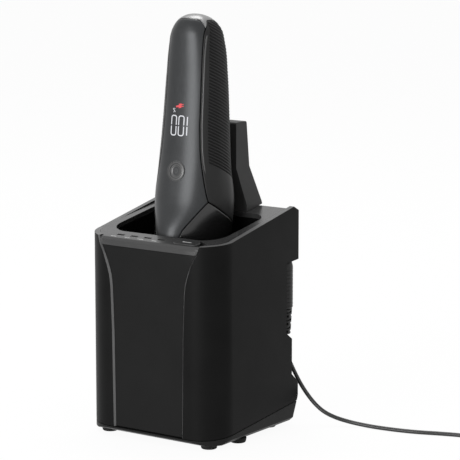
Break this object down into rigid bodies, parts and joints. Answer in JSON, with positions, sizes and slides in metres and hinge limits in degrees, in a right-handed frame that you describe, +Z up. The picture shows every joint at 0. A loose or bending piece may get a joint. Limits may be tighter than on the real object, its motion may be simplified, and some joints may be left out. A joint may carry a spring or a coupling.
{
  "type": "electric shaver",
  "caption": "Foil electric shaver standing head down in its cleaning and charging stand, with a water tank, base tray, appliance plug and adapter cord.",
  "frame": {"origin": "centre of the stand's outline on the surface that it stands on", "axes": "+Z up along the docked shaver, +X to the right seen from the front, +Y to the rear, where the contact arm and the plug are"},
  "size_m": [0.2792, 0.1575, 0.2396],
  "materials": {
    "cover": "satin black",
    "front_panel": "glossy black",
    "deck": "satin black",
    "basin": "glossy black",
    "arm": "matte dark grey",
    "tray": "matte black",
    "inner_plastic": "moulded",
    "lens": "smoked",
    "board": "green laminate",
    "tank": "smoked clear",
    "steel": "bright",
    "contact": "plated",
    "rubber": "matte",
    "grip": "ribbed",
    "face": "satin gunmetal",
    "cap": "metallic grey",
    "neck": "glossy black",
    "cell": "wrapped cell",
    "cord": "matte",
    "cartridge": "moulded"
  },
  "bodies": {
    "stand": {"side_cover_left": "cover", "side_cover_right": "cover", "front_panel": "front_panel", "rear_cover": "cover", "case_screws": "steel", "deck": "deck", "indicator_lenses": "lens", "wash_basin": "basin", "indicator_board": "board", "contact_arm": "arm", "chassis": "inner_plastic", "inlet_socket": "inner_plastic", "control_board": "board", "pump_motor": "steel", "pump_housing": "inner_plastic", "water_hoses": "rubber", "fan_housing": "inner_plastic", "appliance_plug": "cord", "strain_relief": "cord", "cord_tube": "cord", "cord_coil": "cord", "wall_adapter": "tray", "adapter_pins": "steel"},
    "shaver": {"face_panel": "face", "back_panel": "face", "end_cap": "cap", "neck_shell": "neck", "grip_left": "grip", "grip_right": "grip", "power_ring": "face", "inner_frame": "inner_plastic", "battery": "cell", "motor_stator": "steel", "main_board": "board", "display_module": "lens", "charging_terminals": "contact", "pivot_pins": "steel"},
    "power_button": {"power_button": "face"},
    "motor_mover": {"motor_mover": "steel"},
    "head": {"head_base": "neck", "foil_frame": "neck", "foils": "steel"},
    "inner_blades": {"inner_blades": "steel"},
    "release_left": {"release_left": "face"},
    "release_right": {"release_right": "face"},
    "trimmer": {"trimmer": "steel"},
    "select_button": {"select_button": "deck"},
    "contact_pins": {"contact_pins": "contact"},
    "water_tank": {"water_tank": "tank", "tank_lid": "tray"},
    "cleaning_tray": {"tray_shell": "tray", "tray_lid": "tray", "detergent_cartridge": "cartridge", "tray_feet": "rubber"},
    "pump_impeller": {"pump_impeller": "inner_plastic"},
    "fan_rotor": {"fan_rotor": "inner_plastic"}
  },
  "joints": [
    {"name": "shaver_dock", "type": "slide", "parent": "stand", "child": "shaver", "axis": [0, 0, 1], "range_m": [0, 0.11]},
    {"name": "head_tilt", "type": "hinge", "parent": "shaver", "child": "head", "pos_m": [0, -0.003, 0.112], "axis": [1, 0, 0], "range_deg": [-5, 5], "stiffness_Nm_per_rad": 0.05},
    {"name": "blade_stroke", "type": "slide", "parent": "head", "child": "inner_blades", "axis": [1, 0, 0], "range_m": [-0.001, 0.001]},
    {"name": "mover_stroke", "type": "slide", "parent": "shaver", "child": "motor_mover", "axis": [1, 0, 0], "range_m": [-0.001, 0.001]},
    {"name": "release_left_press", "type": "slide", "parent": "head", "child": "release_left", "axis": [1, 0, 0], "range_m": [0, 0.001], "stiffness_N_per_m": 300, "springref_m": -0.001},
    {"name": "release_right_press", "type": "slide", "parent": "head", "child": "release_right", "axis": [-1, 0, 0], "range_m": [0, 0.001], "stiffness_N_per_m": 300, "springref_m": -0.001},
    {"name": "trimmer_slide", "type": "slide", "parent": "shaver", "child": "trimmer", "axis": [0, 0, -1], "range_m": [0, 0.012]},
    {"name": "power_press", "type": "slide", "parent": "shaver", "child": "power_button", "axis": [0, 1, 0], "range_m": [0, 0.0006], "stiffness_N_per_m": 500, "springref_m": -0.001},
    {"name": "select_press", "type": "slide", "parent": "stand", "child": "select_button", "axis": [0, 0, -1], "range_m": [0, 0.0006], "stiffness_N_per_m": 500, "springref_m": -0.001},
    {"name": "contact_press", "type": "slide", "parent": "stand", "child": "contact_pins", "axis": [0, 1, 0], "range_m": [0, 0.0008], "stiffness_N_per_m": 400, "springref_m": -0.001},
    {"name": "tank_pull", "type": "slide", "parent": "stand", "child": "water_tank", "axis": [0, 1, 0], "range_m": [0, 0.03]},
    {"name": "tray_pull", "type": "slide", "parent": "stand", "child": "cleaning_tray", "axis": [0, 1, 0], "range_m": [0, 0.09]},
    {"name": "pump_spin", "type": "hinge", "parent": "stand", "child": "pump_impeller", "pos_m": [-0.02, -0.012, 0.036], "axis": [0, 0, 1], "continuous": true},
    {"name": "fan_spin", "type": "hinge", "parent": "stand", "child": "fan_rotor", "pos_m": [0.019, -0.008, 0.052], "axis": [0, 0, 1], "continuous": true}
  ],
  "couplings": [
    {"joint": "mover_stroke", "follows": "blade_stroke", "ratio": 1}
  ]
}
